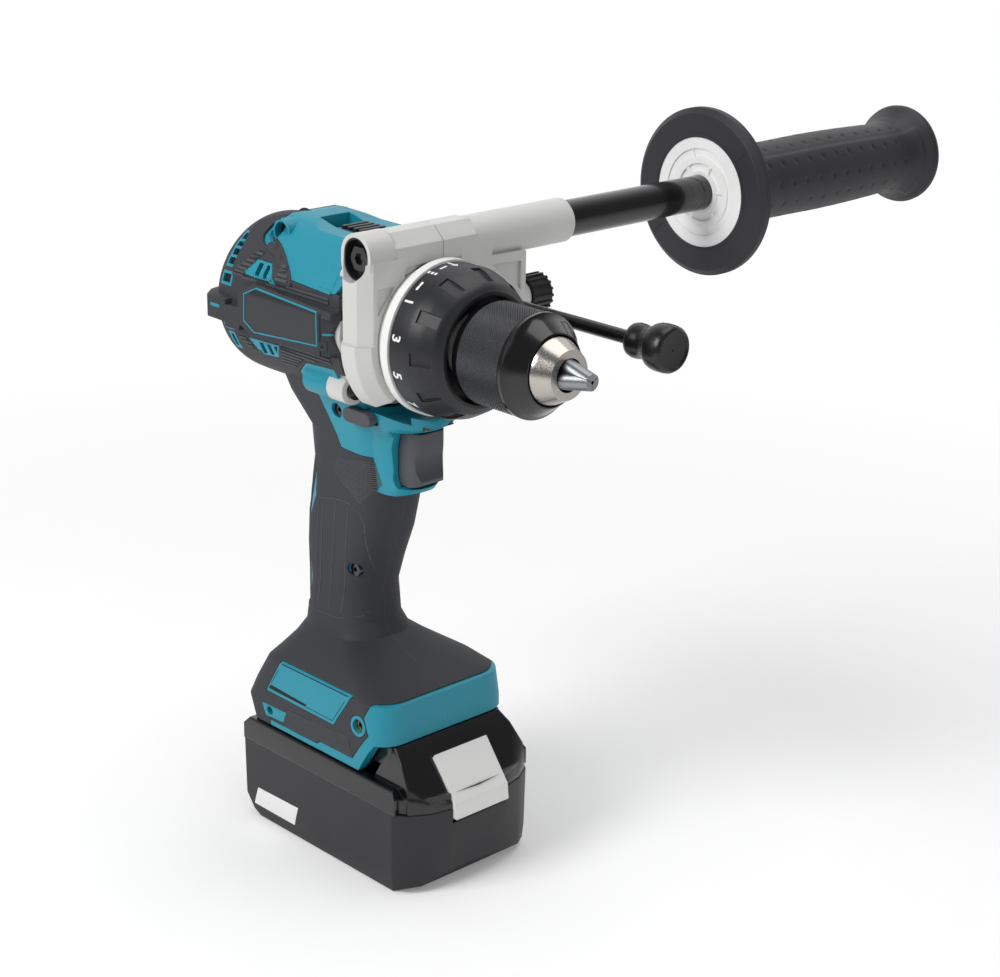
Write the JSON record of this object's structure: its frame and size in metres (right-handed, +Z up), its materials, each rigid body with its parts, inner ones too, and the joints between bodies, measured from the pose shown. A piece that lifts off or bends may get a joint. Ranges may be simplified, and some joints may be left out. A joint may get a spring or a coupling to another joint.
{
  "type": "cordless drill",
  "caption": "Cordless drill with a three-jaw keyless chuck, torque ring, clamp-on side handle with depth rod, two-speed planetary gear train and a slide-on battery it stands on",
  "frame": {"origin": "centre of the battery's underside, on the surface the drill stands on", "axes": "+X out of the chuck, +Y towards the side handle's grip, +Z up"},
  "size_m": [0.1963, 0.349, 0.2986],
  "materials": {
    "teal_case": "satin moulded plastic",
    "grey_rubber": "soft moulded rubber, matt",
    "black_plastic": "fine matt moulding texture",
    "gloss_black": "satin to glossy moulding",
    "white_plastic": "satin moulded plastic",
    "release_grey": "satin moulded plastic",
    "cast_alloy": "silver-white paint over cast aluminium",
    "black_screws": "black oxide",
    "steel": "ground steel",
    "dark_steel": "phosphated steel",
    "chuck_sleeve_black": "black moulding, knurled grip",
    "black_tube": "gloss black over steel",
    "copper": "enamelled copper wire",
    "brass": "turned brass",
    "lens": "clear moulding",
    "circuit_board": "laminate with parts",
    "cell_green": "shrink sleeve",
    "red_button": "moulded button"
  },
  "bodies": {
    "housing": {"housing_right": "teal_case", "housing_left": "teal_case", "rubber_right": "grey_rubber", "rubber_left": "grey_rubber", "rear_cover": "teal_case", "rear_cover_rubber": "grey_rubber", "gear_case": "cast_alloy", "index_ring": "white_plastic", "housing_screws": "black_screws", "gear_case_screws": "black_screws", "belt_hook_nuts": "brass", "led_lens": "lens", "switch_body": "black_plastic", "control_board": "circuit_board", "terminal_block": "black_plastic", "terminal_blades": "brass", "stator": "dark_steel", "windings": "copper", "ball_bearings": "steel", "ring_gears": "dark_steel"},
    "motor_rotor": {"rotor": "dark_steel", "motor_shaft": "steel", "fan": "black_plastic"},
    "first_carrier": {"carrier_a": "steel"},
    "first_planet_1": {"planet_a1": "steel"},
    "first_planet_2": {"planet_a2": "steel"},
    "first_planet_3": {"planet_a3": "steel"},
    "output": {"spindle": "steel", "chuck_body": "dark_steel", "chuck_screw": "black_screws"},
    "second_planet_1": {"planet_b1": "steel"},
    "second_planet_2": {"planet_b2": "steel"},
    "second_planet_3": {"planet_b3": "steel"},
    "sleeve": {"chuck_sleeve": "chuck_sleeve_black", "chuck_nut": "dark_steel"},
    "chuck_jaw_1": {"jaw_1": "dark_steel"},
    "chuck_jaw_2": {"jaw_2": "dark_steel"},
    "chuck_jaw_3": {"jaw_3": "dark_steel"},
    "torque_collar": {"torque_ring": "black_plastic"},
    "trigger": {"trigger": "black_plastic"},
    "direction_switch": {"direction_button": "black_plastic"},
    "speed_switch": {"speed_slider": "black_plastic"},
    "clamp": {"clamp_near": "cast_alloy", "clamp_liner": "black_plastic", "clamp_bolt": "black_screws"},
    "clamp_jaw": {"clamp_far": "cast_alloy"},
    "side_handle": {"handle_tube": "black_tube", "hand_guard": "grey_rubber", "guard_hub": "white_plastic", "side_grip": "grey_rubber"},
    "depth_stop": {"depth_rod": "black_tube", "depth_rod_end": "grey_rubber"},
    "depth_knob": {"depth_knob": "black_plastic"},
    "battery": {"battery_lower": "black_plastic", "battery_upper": "gloss_black", "battery_cells": "cell_green", "battery_board": "circuit_board", "charge_gauge": "black_plastic"},
    "release_button": {"battery_release": "release_grey"},
    "charge_button": {"check_button": "red_button"}
  },
  "joints": [
    {"name": "spindle_spin", "type": "hinge", "parent": "housing", "child": "output", "pos_m": [0.05, 0, 0.2283], "axis": [1, 0, 0], "continuous": true},
    {"name": "carrier_spin", "type": "hinge", "parent": "housing", "child": "first_carrier", "pos_m": [0.05, 0, 0.2283], "axis": [1, 0, 0], "continuous": true},
    {"name": "rotor_spin", "type": "hinge", "parent": "housing", "child": "motor_rotor", "pos_m": [0.05, 0, 0.2283], "axis": [1, 0, 0], "continuous": true},
    {"name": "first_planet_1_spin", "type": "hinge", "parent": "first_carrier", "child": "first_planet_1", "pos_m": [-0.009, 0.0135, 0.2283], "axis": [1, 0, 0], "continuous": true},
    {"name": "first_planet_2_spin", "type": "hinge", "parent": "first_carrier", "child": "first_planet_2", "pos_m": [-0.009, -0.00675, 0.23999], "axis": [1, 0, 0], "continuous": true},
    {"name": "first_planet_3_spin", "type": "hinge", "parent": "first_carrier", "child": "first_planet_3", "pos_m": [-0.009, -0.00675, 0.21661], "axis": [1, 0, 0], "continuous": true},
    {"name": "second_planet_1_spin", "type": "hinge", "parent": "output", "child": "second_planet_1", "pos_m": [0.006, 0.0135, 0.2283], "axis": [1, 0, 0], "continuous": true},
    {"name": "second_planet_2_spin", "type": "hinge", "parent": "output", "child": "second_planet_2", "pos_m": [0.006, -0.00675, 0.23999], "axis": [1, 0, 0], "continuous": true},
    {"name": "second_planet_3_spin", "type": "hinge", "parent": "output", "child": "second_planet_3", "pos_m": [0.006, -0.00675, 0.21661], "axis": [1, 0, 0], "continuous": true},
    {"name": "sleeve_turn", "type": "hinge", "parent": "output", "child": "sleeve", "pos_m": [0.08, 0, 0.2283], "axis": [1, 0, 0], "range_deg": [0, 5669]},
    {"name": "jaw_1_slide", "type": "slide", "parent": "output", "child": "chuck_jaw_1", "axis": [-0.9659, 0, 0.2588], "range_m": [0, 0.025]},
    {"name": "jaw_2_slide", "type": "slide", "parent": "output", "child": "chuck_jaw_2", "axis": [-0.9659, -0.2241, -0.1294], "range_m": [0, 0.025]},
    {"name": "jaw_3_slide", "type": "slide", "parent": "output", "child": "chuck_jaw_3", "axis": [-0.9659, 0.2241, -0.1294], "range_m": [0, 0.025]},
    {"name": "torque_ring_turn", "type": "hinge", "parent": "housing", "child": "torque_collar", "pos_m": [0.05, 0, 0.2283], "axis": [1, 0, 0], "range_deg": [-30, 270]},
    {"name": "trigger_pull", "type": "slide", "parent": "housing", "child": "trigger", "axis": [-1, 0, 0], "range_m": [0, 0.0065], "stiffness_N_per_m": 900, "springref_m": -0.004},
    {"name": "direction_switch", "type": "slide", "parent": "housing", "child": "direction_switch", "axis": [0, 1, 0], "range_m": [-0.0035, 0.0035]},
    {"name": "speed_select", "type": "slide", "parent": "housing", "child": "speed_switch", "axis": [-1, 0, 0], "range_m": [0, 0.01]},
    {"name": "handle_swing", "type": "hinge", "parent": "housing", "child": "clamp", "pos_m": [0.0215, 0, 0.2283], "axis": [1, 0, 0], "range_deg": [-45, 60]},
    {"name": "clamp_open", "type": "slide", "parent": "clamp", "child": "clamp_jaw", "axis": [0, 1, 0], "range_m": [0, 0.0012]},
    {"name": "side_grip_turn", "type": "hinge", "parent": "clamp_jaw", "child": "side_handle", "pos_m": [0.0215, 0.12, 0.2615], "axis": [0, 1, 0], "range_deg": [0, 430]},
    {"name": "depth_rod_slide", "type": "slide", "parent": "clamp_jaw", "child": "depth_stop", "axis": [1, 0, 0], "range_m": [-0.065, 0.04]},
    {"name": "depth_knob_turn", "type": "hinge", "parent": "clamp_jaw", "child": "depth_knob", "pos_m": [0.0215, 0.055, 0.2329], "axis": [0, 1, 0], "range_deg": [0, 270]},
    {"name": "battery_slide", "type": "slide", "parent": "housing", "child": "battery", "axis": [1, 0, 0], "range_m": [0, 0.1]},
    {"name": "battery_release", "type": "slide", "parent": "battery", "child": "release_button", "axis": [-0.8064, 0, -0.5913], "range_m": [0, 0.0035], "stiffness_N_per_m": 900, "springref_m": -0.003},
    {"name": "check_button_press", "type": "slide", "parent": "battery", "child": "charge_button", "axis": [1, 0, 0], "range_m": [0, 0.0008], "stiffness_N_per_m": 800, "springref_m": -0.001}
  ],
  "couplings": [
    {"joint": "carrier_spin", "follows": "spindle_spin", "ratio": 4.5},
    {"joint": "rotor_spin", "follows": "spindle_spin", "ratio": 20.25},
    {"joint": "first_planet_1_spin", "follows": "spindle_spin", "ratio": -12.6},
    {"joint": "first_planet_2_spin", "follows": "spindle_spin", "ratio": -12.6},
    {"joint": "first_planet_3_spin", "follows": "spindle_spin", "ratio": -12.6},
    {"joint": "second_planet_1_spin", "follows": "spindle_spin", "ratio": -2.8},
    {"joint": "second_planet_2_spin", "follows": "spindle_spin", "ratio": -2.8},
    {"joint": "second_planet_3_spin", "follows": "spindle_spin", "ratio": -2.8},
    {"joint": "jaw_1_slide", "follows": "sleeve_turn", "m_per_rad": 0.00025255},
    {"joint": "jaw_2_slide", "follows": "sleeve_turn", "m_per_rad": 0.00025255},
    {"joint": "jaw_3_slide", "follows": "sleeve_turn", "m_per_rad": 0.00025255},
    {"joint": "clamp_open", "follows": "side_grip_turn", "m_per_rad": 0.00015982}
  ]
}
